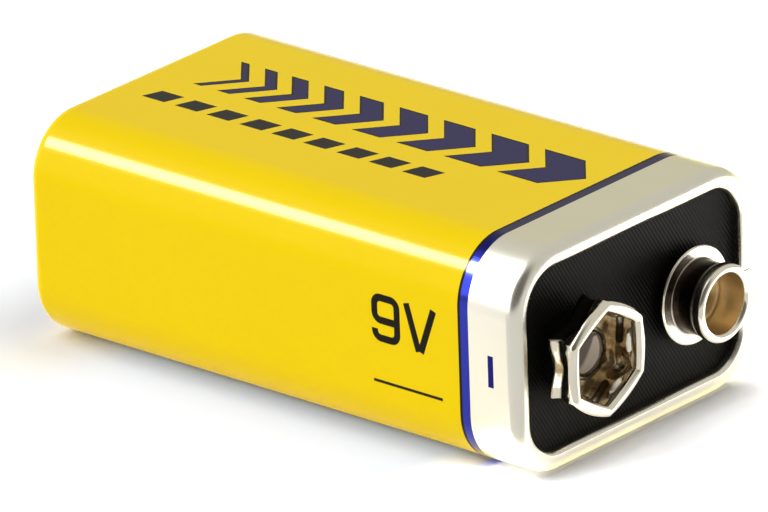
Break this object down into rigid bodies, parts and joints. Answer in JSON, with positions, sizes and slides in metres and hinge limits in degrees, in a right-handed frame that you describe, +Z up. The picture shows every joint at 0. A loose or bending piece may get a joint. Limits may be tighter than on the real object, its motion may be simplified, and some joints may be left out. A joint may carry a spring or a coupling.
{
  "type": "nine volt battery",
  "caption": "Rectangular zinc-carbon dry battery in a folded tinplate jacket, with a snap stud and a hexagonal snap socket on one end.",
  "frame": {"origin": "centre of the footprint, on the surface that the battery lies on", "axes": "+X along the battery's length, out of its terminal end; +Y towards the positive stud's side; +Z up through the broad face"},
  "size_m": [0.0486, 0.0262, 0.0169],
  "materials": {
    "lacquered_tinplate": "glossy yellow lacquer with a blue stripe and a bare satin tin band at the terminal end",
    "nickel_plate": "bright nickel plate with a warm cast",
    "brass": "plain turned",
    "black_fibre": "low sheen with fine pressed ribs",
    "tinned_steel": "satin",
    "card": "grey insulating card",
    "pad": "soft grey pad",
    "film": "milky plastic film",
    "tape": "creped paper tape",
    "zinc": "dull rolled zinc with a carbon coat below",
    "separator_paper": "pasted paper",
    "manganese_mix": "pressed black powder"
  },
  "bodies": {
    "root": {"jacket": "lacquered_tinplate", "liner": "card", "stack_sleeve": "film", "terminal_board": "black_fibre", "base_board": "black_fibre", "base_pad": "pad", "top_card": "card", "positive_stud": "nickel_plate", "positive_eyelet": "brass", "negative_socket": "nickel_plate", "negative_rivet": "nickel_plate", "positive_strip": "tinned_steel", "negative_strip": "tinned_steel", "strap_tape": "tape", "zinc_plate_1": "zinc", "zinc_plate_2": "zinc", "zinc_plate_3": "zinc", "zinc_plate_4": "zinc", "zinc_plate_5": "zinc", "zinc_plate_6": "zinc", "separator_1": "separator_paper", "separator_2": "separator_paper", "separator_3": "separator_paper", "separator_4": "separator_paper", "separator_5": "separator_paper", "separator_6": "separator_paper", "mix_cake_1": "manganese_mix", "mix_cake_2": "manganese_mix", "mix_cake_3": "manganese_mix", "mix_cake_4": "manganese_mix", "mix_cake_5": "manganese_mix", "mix_cake_6": "manganese_mix", "cell_wrap_1": "film", "cell_wrap_2": "film", "cell_wrap_3": "film", "cell_wrap_4": "film", "cell_wrap_5": "film", "cell_wrap_6": "film"}
  },
  "joints": []
}
